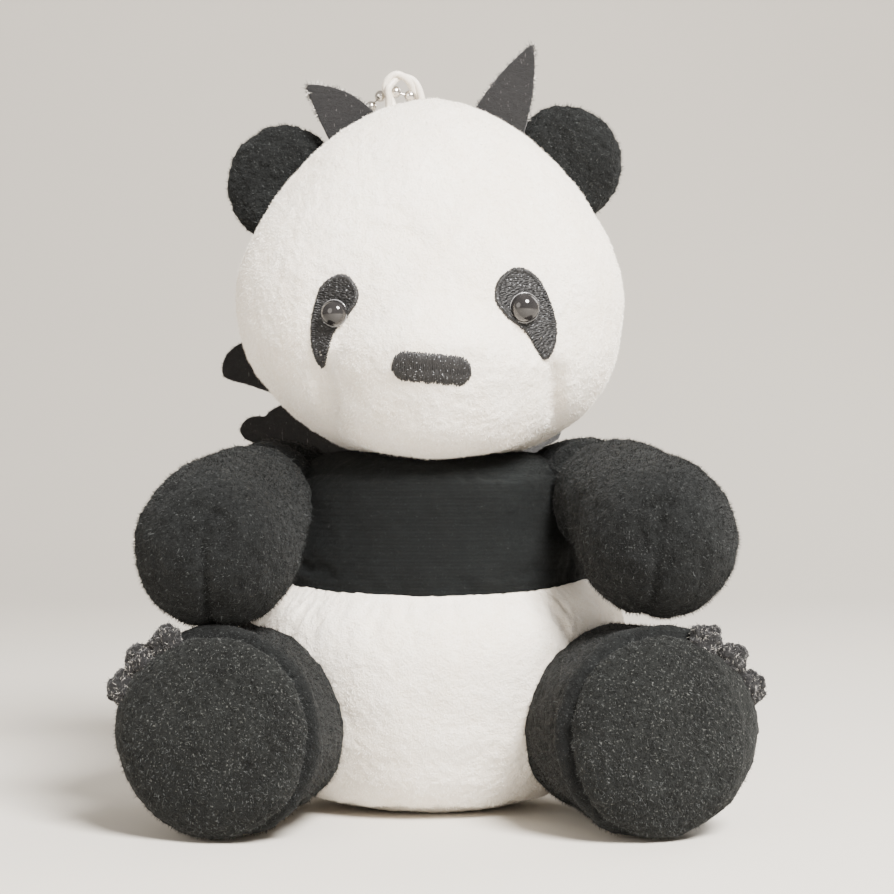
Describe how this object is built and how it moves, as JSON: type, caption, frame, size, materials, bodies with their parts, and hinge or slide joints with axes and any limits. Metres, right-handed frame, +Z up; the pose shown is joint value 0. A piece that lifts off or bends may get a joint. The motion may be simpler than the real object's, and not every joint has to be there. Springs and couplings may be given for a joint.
{
  "type": "plush keychain",
  "caption": "Sitting toy panda in black and white plush with felt horns and wings, hung from a ball chain through a sewn loop.",
  "frame": {"origin": "middle of the flat seat on the table, under the neck", "axes": "+Z up, the face looks along -Y, +X to the toy's left hand"},
  "size_m": [0.1204, 0.1117, 0.1512],
  "materials": {
    "white_plush": "short dense velboa pile",
    "black_plush": "short dense velboa pile",
    "sole_plush": "rougher, nubby pile",
    "black_thread": "satin-stitch embroidery",
    "black_felt": "felt with frayed edges",
    "claw_felt": "felt with glitter",
    "eye_gloss": "polished dome",
    "washer_plastic": "moulded",
    "fibre": "loose polyester fibre",
    "satin_cord": "satin",
    "chain_steel": "nickel-plated"
  },
  "bodies": {
    "torso": {"chest_panel": "black_plush", "upper_back_panel": "black_plush", "belly_panel": "white_plush", "lower_back_panel": "white_plush", "torso_stuffing": "fibre"},
    "neck": {"neck_seam": "black_plush"},
    "head": {"face_panel": "white_plush", "head_back_panel": "white_plush", "head_stuffing": "fibre", "eye_left": "eye_gloss", "eye_right": "eye_gloss", "eye_washer_left": "washer_plastic", "eye_washer_right": "washer_plastic", "eye_patch_left": "black_thread", "eye_patch_right": "black_thread", "nose_embroidery": "black_thread"},
    "hanging_loop": {"hanging_loop": "satin_cord"},
    "chain_arch": {"chain_beads_arch": "chain_steel", "chain_pins_arch": "chain_steel"},
    "ear_left": {"ear_left": "black_plush", "ear_stuffing_left": "fibre"},
    "horn_left": {"horn_left": "black_felt"},
    "arm_left": {"arm_left": "black_plush", "arm_stuffing_left": "fibre"},
    "leg_left": {"leg_left": "black_plush", "sole_left": "sole_plush", "leg_stuffing_left": "fibre", "toe_claws_left": "claw_felt"},
    "wing_left": {"wing_left": "black_felt"},
    "ear_right": {"ear_right": "black_plush", "ear_stuffing_right": "fibre"},
    "horn_right": {"horn_right": "black_felt"},
    "arm_right": {"arm_right": "black_plush", "arm_stuffing_right": "fibre"},
    "leg_right": {"leg_right": "black_plush", "sole_right": "sole_plush", "leg_stuffing_right": "fibre", "toe_claws_right": "claw_felt"},
    "wing_right": {"wing_right": "black_felt"},
    "chain_row_1": {"chain_beads_1": "chain_steel", "chain_pins_1": "chain_steel"},
    "chain_row_2": {"chain_beads_2": "chain_steel", "chain_pins_2": "chain_steel"},
    "chain_row_3": {"chain_beads_3": "chain_steel", "chain_pins_3": "chain_steel"},
    "chain_row_4": {"chain_beads_4": "chain_steel", "chain_pins_4": "chain_steel"},
    "chain_row_5": {"chain_beads_5": "chain_steel", "chain_pins_5": "chain_steel"},
    "chain_row_6": {"chain_beads_6": "chain_steel", "chain_pins_6": "chain_steel"},
    "chain_row_7": {"chain_beads_7": "chain_steel", "chain_pins_7": "chain_steel"},
    "chain_connector": {"chain_connector": "chain_steel", "chain_end_beads": "chain_steel"}
  },
  "joints": [
    {"name": "neck_turn", "type": "hinge", "parent": "torso", "child": "neck", "pos_m": [0, 0, 0.066], "axis": [0, 0, 1], "range_deg": [-15, 15], "stiffness_Nm_per_rad": 0.08},
    {"name": "neck_nod", "type": "hinge", "parent": "neck", "child": "head", "pos_m": [0, 0, 0.0675], "axis": [1, 0, 0], "range_deg": [-4, 4], "stiffness_Nm_per_rad": 0.25},
    {"name": "ear_left_fold", "type": "hinge", "parent": "head", "child": "ear_left", "pos_m": [-0.0275, 0.0035, 0.1226], "axis": [0.581, 0, 0.8139], "range_deg": [-12, 12], "stiffness_Nm_per_rad": 0.004},
    {"name": "ear_right_fold", "type": "hinge", "parent": "head", "child": "ear_right", "pos_m": [0.0258, 0.0035, 0.1267], "axis": [-0.6765, 0, 0.7364], "range_deg": [-12, 12], "stiffness_Nm_per_rad": 0.004},
    {"name": "horn_left_bend", "type": "hinge", "parent": "head", "child": "horn_left", "pos_m": [-0.0149, -0.002, 0.1364], "axis": [0.8944, 0, 0.4472], "range_deg": [-20, 20], "stiffness_Nm_per_rad": 0.001},
    {"name": "horn_right_bend", "type": "hinge", "parent": "head", "child": "horn_right", "pos_m": [0.013, -0.002, 0.1376], "axis": [0.9253, 0, -0.3791], "range_deg": [-20, 20], "stiffness_Nm_per_rad": 0.001},
    {"name": "loop_flop", "type": "hinge", "parent": "head", "child": "hanging_loop", "pos_m": [-0.0055, 0.0026, 0.1403], "axis": [1, 0, 0], "range_deg": [0, 20], "stiffness_Nm_per_rad": 0.002},
    {"name": "chain_swing", "type": "hinge", "parent": "hanging_loop", "child": "chain_arch", "pos_m": [-0.007, 0.0026, 0.1424], "axis": [1, 0, 0], "range_deg": [0, 60]},
    {"name": "chain_bend_1", "type": "hinge", "parent": "chain_arch", "child": "chain_row_1", "pos_m": [-0.00168, 0.00669, 0.13926], "axis": [1, 0, 0], "range_deg": [0, 10]},
    {"name": "chain_bend_2", "type": "hinge", "parent": "chain_row_1", "child": "chain_row_2", "pos_m": [-0.0016, 0.01205, 0.13623], "axis": [1, 0, 0], "range_deg": [0, 10]},
    {"name": "chain_bend_3", "type": "hinge", "parent": "chain_row_2", "child": "chain_row_3", "pos_m": [-0.0016, 0.01668, 0.13212], "axis": [1, 0, 0], "range_deg": [0, 10]},
    {"name": "chain_bend_4", "type": "hinge", "parent": "chain_row_3", "child": "chain_row_4", "pos_m": [-0.0016, 0.02054, 0.12728], "axis": [1, 0, 0], "range_deg": [0, 10]},
    {"name": "chain_bend_5", "type": "hinge", "parent": "chain_row_4", "child": "chain_row_5", "pos_m": [-0.0016, 0.02363, 0.12191], "axis": [1, 0, 0], "range_deg": [0, 10]},
    {"name": "chain_bend_6", "type": "hinge", "parent": "chain_row_5", "child": "chain_row_6", "pos_m": [-0.0016, 0.02597, 0.11618], "axis": [1, 0, 0], "range_deg": [0, 10]},
    {"name": "chain_bend_7", "type": "hinge", "parent": "chain_row_6", "child": "chain_row_7", "pos_m": [-0.0016, 0.02759, 0.1102], "axis": [1, 0, 0], "range_deg": [0, 10]},
    {"name": "connector_bend", "type": "hinge", "parent": "chain_row_7", "child": "chain_connector", "pos_m": [-0.00373, 0.02823, 0.10522], "axis": [1, 0, 0], "range_deg": [0, 10]},
    {"name": "arm_left_lift", "type": "hinge", "parent": "torso", "child": "arm_left", "pos_m": [-0.031, 0, 0.0615], "axis": [-1, 0, 0], "range_deg": [0, 24], "stiffness_Nm_per_rad": 0.03},
    {"name": "arm_right_lift", "type": "hinge", "parent": "torso", "child": "arm_right", "pos_m": [0.031, 0, 0.062], "axis": [-1, 0, 0], "range_deg": [0, 24], "stiffness_Nm_per_rad": 0.03},
    {"name": "leg_left_splay", "type": "hinge", "parent": "torso", "child": "leg_left", "pos_m": [-0.029, -0.003, 0.0192], "axis": [0, 0, -1], "range_deg": [0, 20], "stiffness_Nm_per_rad": 0.03},
    {"name": "leg_right_splay", "type": "hinge", "parent": "torso", "child": "leg_right", "pos_m": [0.0295, -0.003, 0.0192], "axis": [0, 0, 1], "range_deg": [0, 20], "stiffness_Nm_per_rad": 0.03},
    {"name": "wing_left_fold", "type": "hinge", "parent": "torso", "child": "wing_left", "pos_m": [-0.006, 0.0305, 0.057], "axis": [0, 0, -1], "range_deg": [-5, 35], "stiffness_Nm_per_rad": 0.003},
    {"name": "wing_right_fold", "type": "hinge", "parent": "torso", "child": "wing_right", "pos_m": [0.006, 0.0305, 0.057], "axis": [0, 0, 1], "range_deg": [-30, 12], "stiffness_Nm_per_rad": 0.003}
  ]
}
